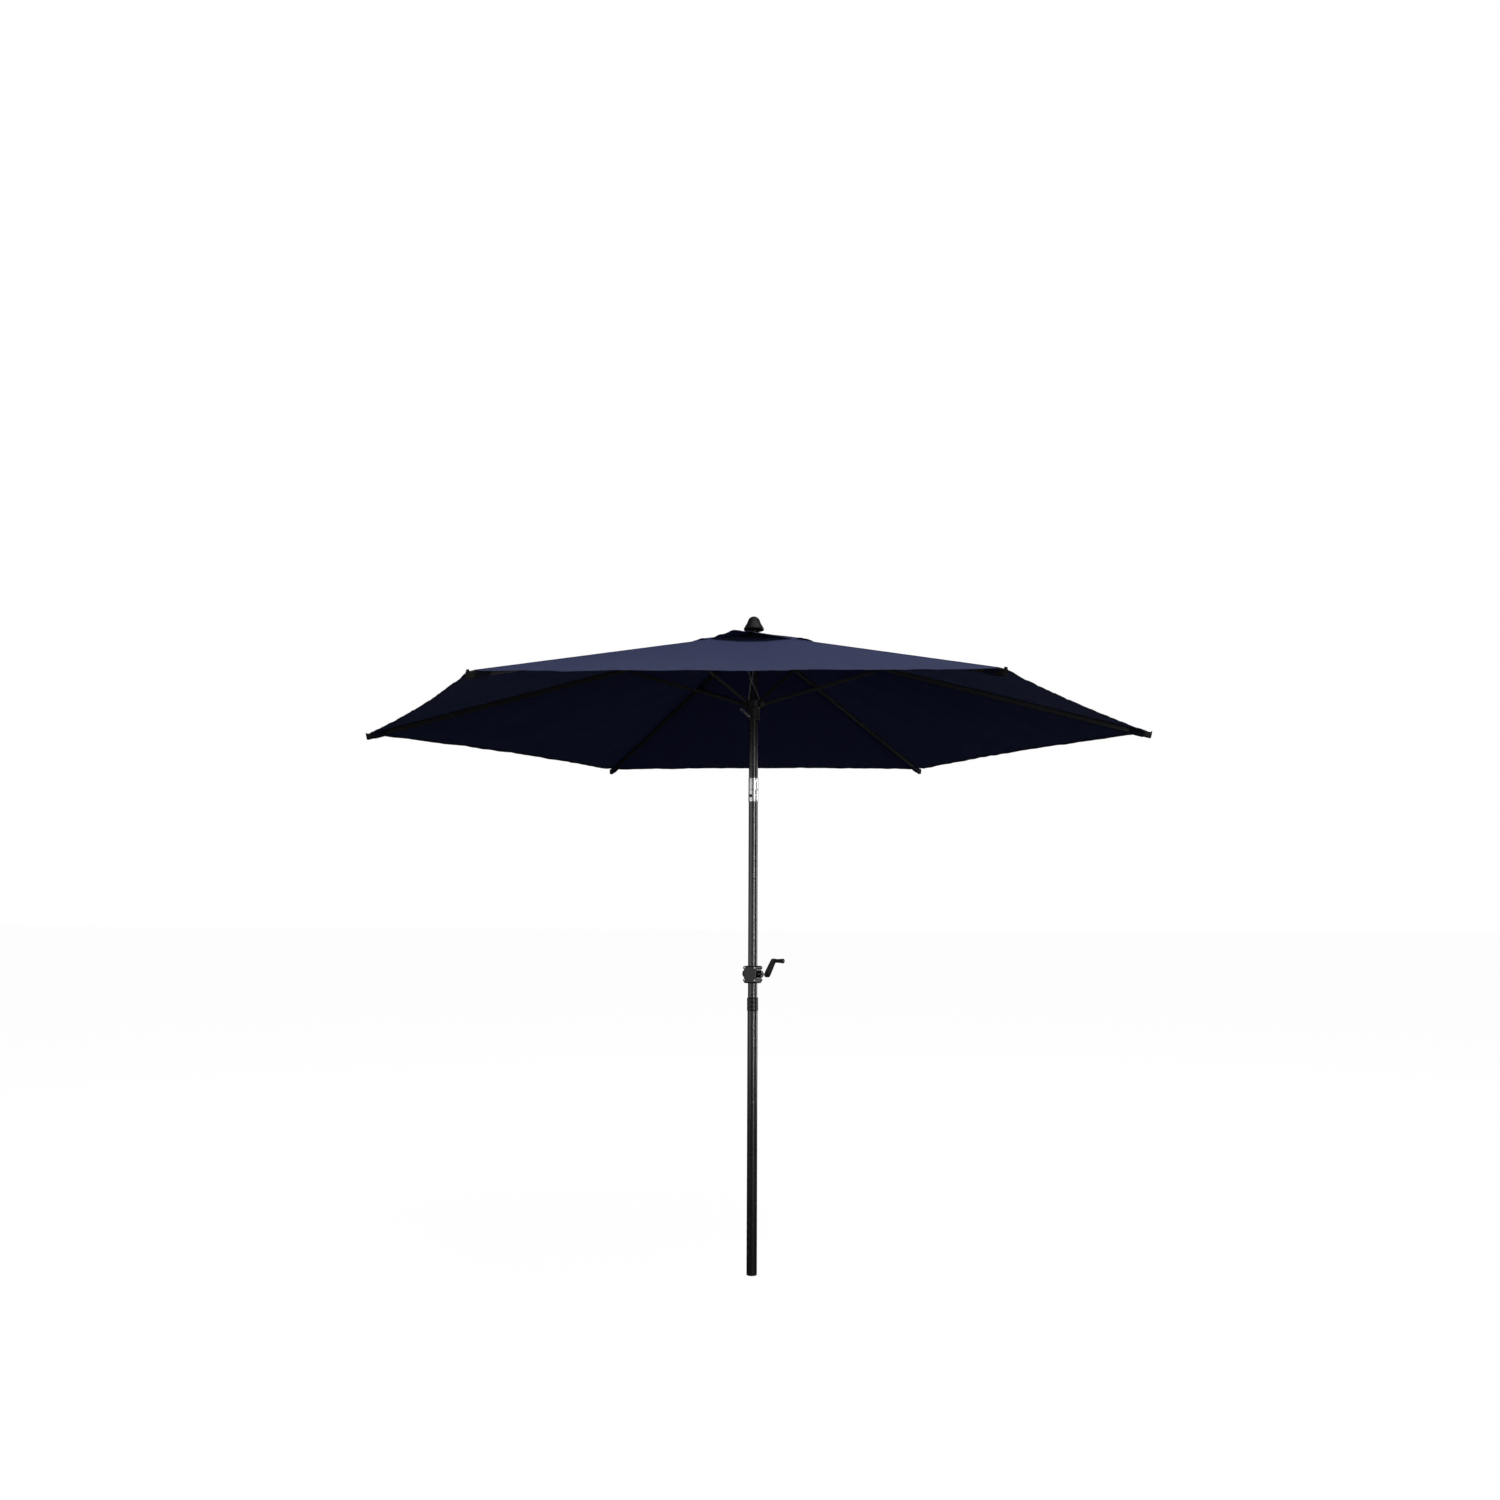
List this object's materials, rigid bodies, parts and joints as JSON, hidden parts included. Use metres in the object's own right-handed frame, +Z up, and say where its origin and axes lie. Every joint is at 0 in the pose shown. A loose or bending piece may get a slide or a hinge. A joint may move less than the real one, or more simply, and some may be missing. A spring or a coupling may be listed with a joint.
{
  "type": "patio umbrella",
  "caption": "Hexagonal crank-lift market umbrella with folding ribs, push-button tilt joint, vented fabric canopy and a two-part round pole, supplied without a base.",
  "frame": {"origin": "centre of the lower end face of the pole, on the pole's axis", "axes": "+Z up the pole, +X out along rib 1; ribs every 60 degrees; the crank axle points 30 degrees clockwise from +X"},
  "size_m": [3.0082, 2.6114, 2.4413],
  "materials": {
    "powder_coat": "dark grey satin powder coat",
    "tilt_metal": "bright satin",
    "black_plastic": "moulded, fine satin",
    "steel": "zinc plated",
    "canopy_cloth": "woven navy polyester",
    "cord": "braided light grey"
  },
  "bodies": {
    "base_pole": {"lower_pole": "powder_coat", "pole_foot_cap": "black_plastic", "joint_collar": "black_plastic", "mid_pole": "powder_coat", "snap_spring": "steel", "crank_housing_front": "black_plastic", "crank_housing_back": "black_plastic", "housing_screw_1": "steel", "housing_screw_2": "steel", "housing_screw_3": "steel", "housing_screw_4": "steel", "tilt_lower_sleeve": "tilt_metal", "tilt_rivet_right": "steel", "tilt_rivet_left": "steel", "tilt_spring": "steel", "lift_cord_lower": "cord"},
    "snap_button": {"snap_button": "steel"},
    "crank": {"crank_axle": "steel", "crank_drum": "black_plastic", "lift_cord_wound": "cord", "crank_arm": "black_plastic"},
    "crank_knob": {"crank_knob": "black_plastic"},
    "tilt_button": {"tilt_button": "black_plastic"},
    "upper_pole": {"upper_pole": "powder_coat", "tilt_upper_knuckle": "tilt_metal", "top_hub": "black_plastic", "hub_hinge_ring": "steel", "pulley_pin": "steel", "finial": "black_plastic", "vent_cap": "canopy_cloth", "lift_cord_upper": "cord", "lift_cord_outer": "cord"},
    "pulley": {"top_pulley": "black_plastic"},
    "runner": {"runner": "black_plastic"},
    "rib_1": {"rib_1": "powder_coat", "rib_tip_cap_1": "black_plastic", "canopy_panel_1": "canopy_cloth"},
    "strut_1": {"strut_1": "powder_coat"},
    "rib_2": {"rib_2": "powder_coat", "rib_tip_cap_2": "black_plastic", "canopy_panel_2": "canopy_cloth"},
    "strut_2": {"strut_2": "powder_coat"},
    "rib_3": {"rib_3": "powder_coat", "rib_tip_cap_3": "black_plastic", "canopy_panel_3": "canopy_cloth"},
    "strut_3": {"strut_3": "powder_coat"},
    "rib_4": {"rib_4": "powder_coat", "rib_tip_cap_4": "black_plastic", "canopy_panel_4": "canopy_cloth"},
    "strut_4": {"strut_4": "powder_coat"},
    "rib_5": {"rib_5": "powder_coat", "rib_tip_cap_5": "black_plastic", "canopy_panel_5": "canopy_cloth"},
    "strut_5": {"strut_5": "powder_coat"},
    "rib_6": {"rib_6": "powder_coat", "rib_tip_cap_6": "black_plastic", "canopy_panel_6": "canopy_cloth"},
    "strut_6": {"strut_6": "powder_coat"}
  },
  "joints": [
    {"name": "tilt", "type": "hinge", "parent": "base_pole", "child": "upper_pole", "pos_m": [0, 0, 1.767], "axis": [0.866, -0.5, 0], "range_deg": [-30, 0]},
    {"name": "tilt_button_press", "type": "slide", "parent": "base_pole", "child": "tilt_button", "axis": [0.5, 0.866, 0], "range_m": [0, 0.003], "stiffness_N_per_m": 600, "springref_m": -0.001, "deforming": ["tilt_spring"]},
    {"name": "snap_button_press", "type": "slide", "parent": "base_pole", "child": "snap_button", "axis": [0, -1, 0], "range_m": [0, 0.0038], "stiffness_N_per_m": 500, "springref_m": -0.001},
    {"name": "crank_turn", "type": "hinge", "parent": "base_pole", "child": "crank", "pos_m": [0, 0, 1.077], "axis": [0.866, -0.5, 0], "range_deg": [-3601, 0]},
    {"name": "knob_spin", "type": "hinge", "parent": "crank", "child": "crank_knob", "pos_m": [0.10392, -0.06, 1.128], "axis": [0.866, -0.5, 0], "continuous": true},
    {"name": "pulley_turn", "type": "hinge", "parent": "upper_pole", "child": "pulley", "pos_m": [0, -0.013, 2.352], "axis": [1, 0, 0], "range_deg": [0, 2799]},
    {"name": "runner_slide", "type": "slide", "parent": "upper_pole", "child": "runner", "axis": [0, 0, -1], "range_m": [0, 0.63517], "deforming": ["lift_cord_outer"]},
    {"name": "fold", "type": "hinge", "parent": "upper_pole", "child": "rib_1", "pos_m": [0.045, 0, 2.35], "axis": [0, 1, 0], "range_deg": [0, 69.5], "deforming": ["canopy_panel_1"]},
    {"name": "strut_1_pivot", "type": "hinge", "parent": "rib_1", "child": "strut_1", "pos_m": [0.46673, 0, 2.22337], "axis": [0, 1, 0], "range_deg": [-139, 0]},
    {"name": "fold_2", "type": "hinge", "parent": "upper_pole", "child": "rib_2", "pos_m": [0.0225, 0.03897, 2.35], "axis": [-0.866, 0.5, 0], "range_deg": [0, 69.6], "deforming": ["canopy_panel_2"]},
    {"name": "strut_2_pivot", "type": "hinge", "parent": "rib_2", "child": "strut_2", "pos_m": [0.23336, 0.4042, 2.22337], "axis": [-0.866, 0.5, 0], "range_deg": [-139, 0]},
    {"name": "fold_3", "type": "hinge", "parent": "upper_pole", "child": "rib_3", "pos_m": [-0.0225, 0.03897, 2.35], "axis": [-0.866, -0.5, 0], "range_deg": [0, 69.6], "deforming": ["canopy_panel_3"]},
    {"name": "strut_3_pivot", "type": "hinge", "parent": "rib_3", "child": "strut_3", "pos_m": [-0.23336, 0.4042, 2.22337], "axis": [-0.866, -0.5, 0], "range_deg": [-139, 0]},
    {"name": "fold_4", "type": "hinge", "parent": "upper_pole", "child": "rib_4", "pos_m": [-0.045, 0, 2.35], "axis": [0, -1, 0], "range_deg": [0, 69.6], "deforming": ["canopy_panel_4"]},
    {"name": "strut_4_pivot", "type": "hinge", "parent": "rib_4", "child": "strut_4", "pos_m": [-0.46673, 0, 2.22337], "axis": [0, -1, 0], "range_deg": [-139, 0]},
    {"name": "fold_5", "type": "hinge", "parent": "upper_pole", "child": "rib_5", "pos_m": [-0.0225, -0.03897, 2.35], "axis": [0.866, -0.5, 0], "range_deg": [0, 69.6], "deforming": ["canopy_panel_5"]},
    {"name": "strut_5_pivot", "type": "hinge", "parent": "rib_5", "child": "strut_5", "pos_m": [-0.23336, -0.4042, 2.22337], "axis": [0.866, -0.5, 0], "range_deg": [-139, 0]},
    {"name": "fold_6", "type": "hinge", "parent": "upper_pole", "child": "rib_6", "pos_m": [0.0225, -0.03897, 2.35], "axis": [0.866, 0.5, 0], "range_deg": [0, 69.6], "deforming": ["canopy_panel_6"]},
    {"name": "strut_6_pivot", "type": "hinge", "parent": "rib_6", "child": "strut_6", "pos_m": [0.23336, -0.4042, 2.22337], "axis": [0.866, 0.5, 0], "range_deg": [-139, 0]}
  ],
  "couplings": [
    {"joint": "strut_1_pivot", "follows": "fold", "ratio": -1.9856},
    {"joint": "fold_2", "follows": "fold", "ratio": 1},
    {"joint": "strut_2_pivot", "follows": "fold", "ratio": -1.9856},
    {"joint": "fold_3", "follows": "fold", "ratio": 1},
    {"joint": "strut_3_pivot", "follows": "fold", "ratio": -1.9856},
    {"joint": "fold_4", "follows": "fold", "ratio": 1},
    {"joint": "strut_4_pivot", "follows": "fold", "ratio": -1.9856},
    {"joint": "fold_5", "follows": "fold", "ratio": 1},
    {"joint": "strut_5_pivot", "follows": "fold", "ratio": -1.9856},
    {"joint": "fold_6", "follows": "fold", "ratio": 1},
    {"joint": "strut_6_pivot", "follows": "fold", "ratio": -1.9856},
    {"joint": "runner_slide", "follows": "fold", "m_per_rad": 0.52322},
    {"joint": "pulley_turn", "follows": "fold", "ratio": 40.248},
    {"joint": "crank_turn", "follows": "fold", "ratio": -51.799}
  ]
}
